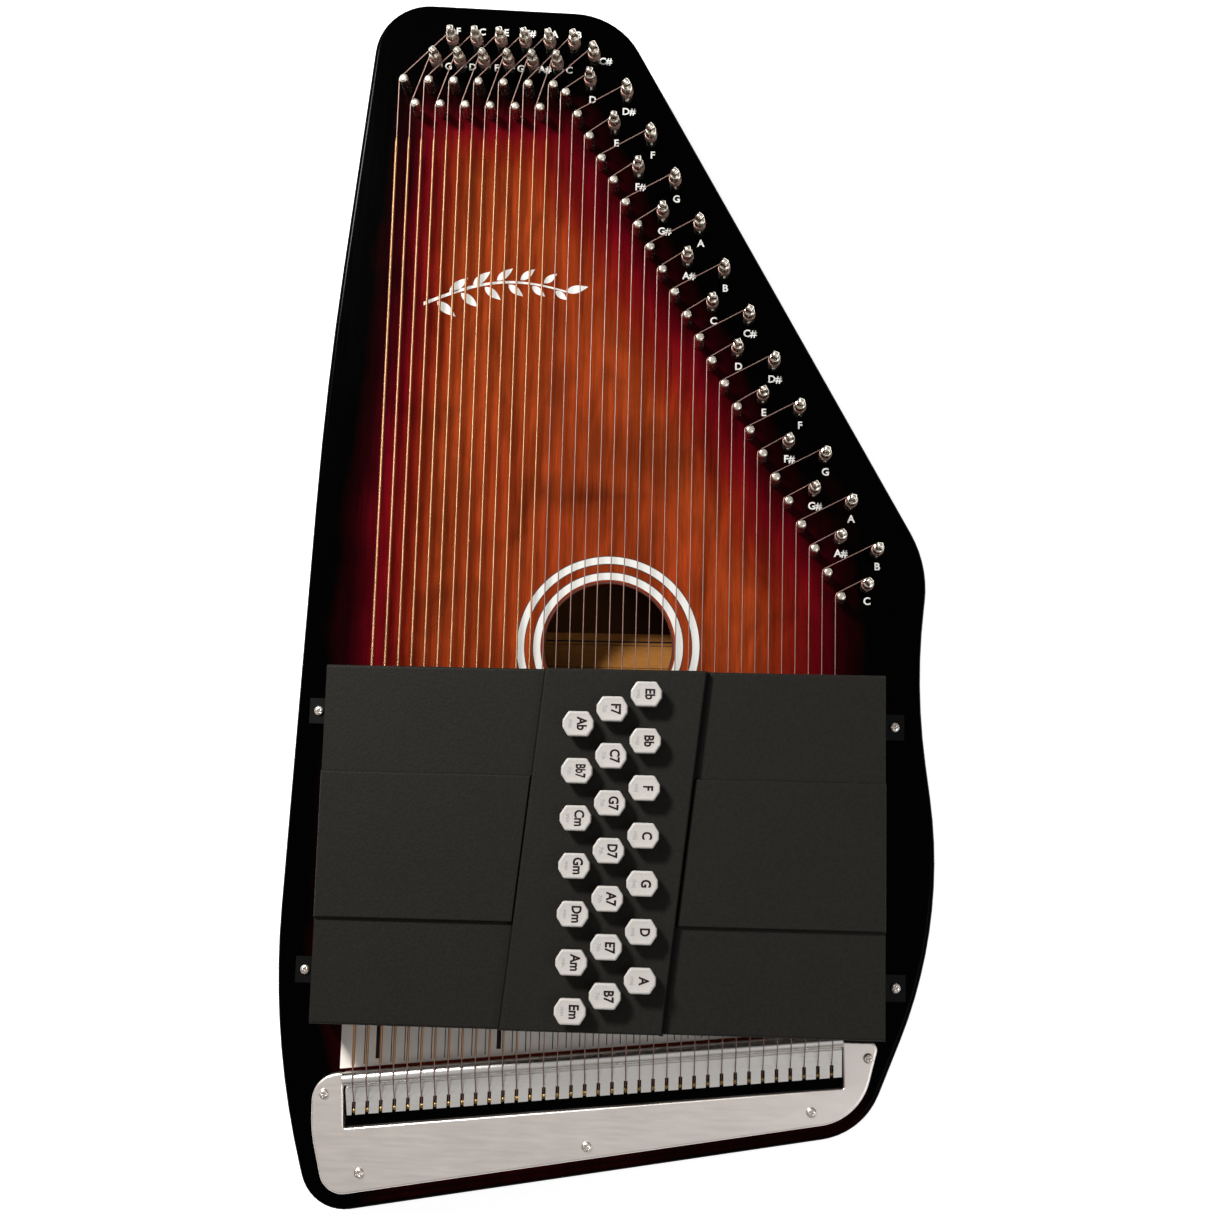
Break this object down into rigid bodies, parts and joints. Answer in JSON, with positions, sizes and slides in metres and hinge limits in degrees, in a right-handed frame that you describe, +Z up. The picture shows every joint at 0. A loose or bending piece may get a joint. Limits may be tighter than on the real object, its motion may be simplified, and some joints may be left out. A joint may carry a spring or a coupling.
{
  "type": "chorded zither",
  "caption": "Flat sunburst wooden zither with slanted tuning pins, metal strings, a dark chord bar cover and white sprung chord buttons.",
  "frame": {"origin": "middle of the body's plan box, at the height of the feet's lower faces", "axes": "+X across the strings from bass to treble, +Y along the strings towards the tuning pins, +Z up through the chord buttons"},
  "size_m": [0.3044, 0.5874, 0.0883],
  "materials": {
    "sunburst_lacquer": "gloss sunburst lacquer, black at the edge through dark red to amber",
    "black_lacquer": "gloss black lacquer outside, bare wood inside",
    "raw_wood": "bare spruce",
    "rubber": "matt",
    "nickel": "polished nickel",
    "bronze": "bronze winding",
    "steel": "bright drawn",
    "aluminium": "polished extrusion",
    "holder_plastic": "moulded",
    "cover_plastic": "fine leather-grain texture",
    "bar_and_felt": "painted bar with a felt strip glued below",
    "button_plastic": "moulded, printed chord name",
    "paper_label": "printed strip",
    "white_print": "screen print under the lacquer"
  },
  "bodies": {
    "instrument": {"anchor_bar": "aluminium", "anchor_cover_plate": "nickel", "back_plate": "black_lacquer", "bar_holders": "holder_plastic", "bar_springs": "steel", "braces": "raw_wood", "button_panel": "cover_plastic", "feet": "rubber", "guide_pins": "nickel", "mounting_screws": "steel", "pin_block": "black_lacquer", "plain_strings": "steel", "side_covers": "cover_plastic", "side_rails": "black_lacquer", "soundboard": "sunburst_lacquer", "tail_block": "black_lacquer", "tuning_pins": "nickel", "wound_strings": "bronze"},
    "chord_01": {"chord_bar_01": "bar_and_felt", "chord_button_01": "button_plastic"},
    "chord_02": {"chord_bar_02": "bar_and_felt", "chord_button_02": "button_plastic"},
    "chord_03": {"chord_bar_03": "bar_and_felt", "chord_button_03": "button_plastic"},
    "chord_04": {"chord_bar_04": "bar_and_felt", "chord_button_04": "button_plastic"},
    "chord_05": {"chord_bar_05": "bar_and_felt", "chord_button_05": "button_plastic"},
    "chord_06": {"chord_bar_06": "bar_and_felt", "chord_button_06": "button_plastic"},
    "chord_07": {"chord_bar_07": "bar_and_felt", "chord_button_07": "button_plastic"},
    "chord_08": {"chord_bar_08": "bar_and_felt", "chord_button_08": "button_plastic"},
    "chord_09": {"chord_bar_09": "bar_and_felt", "chord_button_09": "button_plastic"},
    "chord_10": {"chord_bar_10": "bar_and_felt", "chord_button_10": "button_plastic"},
    "chord_11": {"chord_bar_11": "bar_and_felt", "chord_button_11": "button_plastic"},
    "chord_12": {"chord_bar_12": "bar_and_felt", "chord_button_12": "button_plastic"},
    "chord_13": {"chord_bar_13": "bar_and_felt", "chord_button_13": "button_plastic"},
    "chord_14": {"chord_bar_14": "bar_and_felt", "chord_button_14": "button_plastic"},
    "chord_15": {"chord_bar_15": "bar_and_felt", "chord_button_15": "button_plastic"},
    "chord_16": {"chord_bar_16": "bar_and_felt", "chord_button_16": "button_plastic"},
    "chord_17": {"chord_bar_17": "bar_and_felt", "chord_button_17": "button_plastic"},
    "chord_18": {"chord_bar_18": "bar_and_felt", "chord_button_18": "button_plastic"},
    "chord_19": {"chord_bar_19": "bar_and_felt", "chord_button_19": "button_plastic"},
    "chord_20": {"chord_bar_20": "bar_and_felt", "chord_button_20": "button_plastic"},
    "chord_21": {"chord_bar_21": "bar_and_felt", "chord_button_21": "button_plastic"}
  },
  "joints": [
    {"name": "press_01", "type": "slide", "parent": "instrument", "child": "chord_01", "axis": [0, 0, -1], "range_m": [0, 0.0035], "stiffness_N_per_m": 320, "springref_m": -0.003, "deforming": ["bar_springs"]},
    {"name": "press_02", "type": "slide", "parent": "instrument", "child": "chord_02", "axis": [0, 0, -1], "range_m": [0, 0.0035], "stiffness_N_per_m": 320, "springref_m": -0.003, "deforming": ["bar_springs"]},
    {"name": "press_03", "type": "slide", "parent": "instrument", "child": "chord_03", "axis": [0, 0, -1], "range_m": [0, 0.0035], "stiffness_N_per_m": 320, "springref_m": -0.003, "deforming": ["bar_springs"]},
    {"name": "press_04", "type": "slide", "parent": "instrument", "child": "chord_04", "axis": [0, 0, -1], "range_m": [0, 0.0035], "stiffness_N_per_m": 320, "springref_m": -0.003, "deforming": ["bar_springs"]},
    {"name": "press_05", "type": "slide", "parent": "instrument", "child": "chord_05", "axis": [0, 0, -1], "range_m": [0, 0.0035], "stiffness_N_per_m": 320, "springref_m": -0.003, "deforming": ["bar_springs"]},
    {"name": "press_06", "type": "slide", "parent": "instrument", "child": "chord_06", "axis": [0, 0, -1], "range_m": [0, 0.0035], "stiffness_N_per_m": 320, "springref_m": -0.003, "deforming": ["bar_springs"]},
    {"name": "press_07", "type": "slide", "parent": "instrument", "child": "chord_07", "axis": [0, 0, -1], "range_m": [0, 0.0035], "stiffness_N_per_m": 320, "springref_m": -0.003, "deforming": ["bar_springs"]},
    {"name": "press_08", "type": "slide", "parent": "instrument", "child": "chord_08", "axis": [0, 0, -1], "range_m": [0, 0.0035], "stiffness_N_per_m": 320, "springref_m": -0.003, "deforming": ["bar_springs"]},
    {"name": "press_09", "type": "slide", "parent": "instrument", "child": "chord_09", "axis": [0, 0, -1], "range_m": [0, 0.0035], "stiffness_N_per_m": 320, "springref_m": -0.003, "deforming": ["bar_springs"]},
    {"name": "press_10", "type": "slide", "parent": "instrument", "child": "chord_10", "axis": [0, 0, -1], "range_m": [0, 0.0035], "stiffness_N_per_m": 320, "springref_m": -0.003, "deforming": ["bar_springs"]},
    {"name": "press_11", "type": "slide", "parent": "instrument", "child": "chord_11", "axis": [0, 0, -1], "range_m": [0, 0.0035], "stiffness_N_per_m": 320, "springref_m": -0.003, "deforming": ["bar_springs"]},
    {"name": "press_12", "type": "slide", "parent": "instrument", "child": "chord_12", "axis": [0, 0, -1], "range_m": [0, 0.0035], "stiffness_N_per_m": 320, "springref_m": -0.003, "deforming": ["bar_springs"]},
    {"name": "press_13", "type": "slide", "parent": "instrument", "child": "chord_13", "axis": [0, 0, -1], "range_m": [0, 0.0035], "stiffness_N_per_m": 320, "springref_m": -0.003, "deforming": ["bar_springs"]},
    {"name": "press_14", "type": "slide", "parent": "instrument", "child": "chord_14", "axis": [0, 0, -1], "range_m": [0, 0.0035], "stiffness_N_per_m": 320, "springref_m": -0.003, "deforming": ["bar_springs"]},
    {"name": "press_15", "type": "slide", "parent": "instrument", "child": "chord_15", "axis": [0, 0, -1], "range_m": [0, 0.0035], "stiffness_N_per_m": 320, "springref_m": -0.003, "deforming": ["bar_springs"]},
    {"name": "press_16", "type": "slide", "parent": "instrument", "child": "chord_16", "axis": [0, 0, -1], "range_m": [0, 0.0035], "stiffness_N_per_m": 320, "springref_m": -0.003, "deforming": ["bar_springs"]},
    {"name": "press_17", "type": "slide", "parent": "instrument", "child": "chord_17", "axis": [0, 0, -1], "range_m": [0, 0.0035], "stiffness_N_per_m": 320, "springref_m": -0.003, "deforming": ["bar_springs"]},
    {"name": "press_18", "type": "slide", "parent": "instrument", "child": "chord_18", "axis": [0, 0, -1], "range_m": [0, 0.0035], "stiffness_N_per_m": 320, "springref_m": -0.003, "deforming": ["bar_springs"]},
    {"name": "press_19", "type": "slide", "parent": "instrument", "child": "chord_19", "axis": [0, 0, -1], "range_m": [0, 0.0035], "stiffness_N_per_m": 320, "springref_m": -0.003, "deforming": ["bar_springs"]},
    {"name": "press_20", "type": "slide", "parent": "instrument", "child": "chord_20", "axis": [0, 0, -1], "range_m": [0, 0.0035], "stiffness_N_per_m": 320, "springref_m": -0.003, "deforming": ["bar_springs"]},
    {"name": "press_21", "type": "slide", "parent": "instrument", "child": "chord_21", "axis": [0, 0, -1], "range_m": [0, 0.0035], "stiffness_N_per_m": 320, "springref_m": -0.003, "deforming": ["bar_springs"]}
  ]
}
